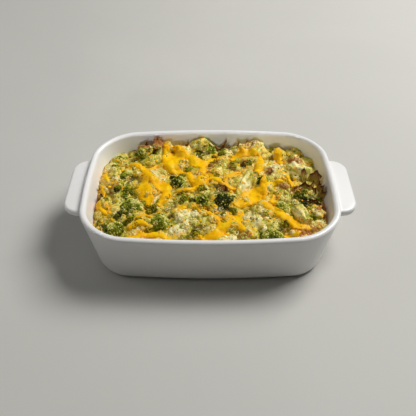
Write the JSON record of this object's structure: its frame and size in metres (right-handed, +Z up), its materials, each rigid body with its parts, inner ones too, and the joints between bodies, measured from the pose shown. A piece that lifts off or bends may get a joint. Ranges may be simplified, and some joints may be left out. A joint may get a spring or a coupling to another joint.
{
  "type": "broccoli cheese casserole",
  "caption": "Baked broccoli casserole with melted cheddar shreds in a white rectangular ceramic dish with rounded corners and tab handles.",
  "frame": {"origin": "middle of the dish's flat base, on the surface that it stands on", "axes": "+X along the dish from handle to handle, +Y towards its back, +Z up"},
  "size_m": [0.272, 0.1638, 0.055],
  "materials": {
    "glaze": "smooth satin-gloss white glaze",
    "baked_custard": "baked creamy cheese custard with broccoli, moist, uneven",
    "cheddar": "melted orange-yellow cheddar, slightly oily",
    "floret": "cooked broccoli buds, dark green, browned at the tips",
    "stalk": "cooked broccoli stalk, pale yellow-green, moist",
    "leaf": "crisp browned broccoli leaf"
  },
  "bodies": {
    "root": {"dish": "glaze", "casserole": "baked_custard", "floret_01": "floret", "floret_02": "floret", "floret_03": "floret", "floret_04": "floret", "floret_05": "floret", "floret_06": "floret", "floret_07": "floret", "floret_08": "floret", "floret_09": "floret", "floret_10": "floret", "floret_11": "floret", "stalk_01": "stalk", "stalk_02": "stalk", "stalk_03": "stalk", "stalk_04": "stalk", "stalk_05": "stalk", "stalk_06": "stalk", "leaf_01": "leaf", "leaf_02": "leaf"}
  },
  "joints": []
}
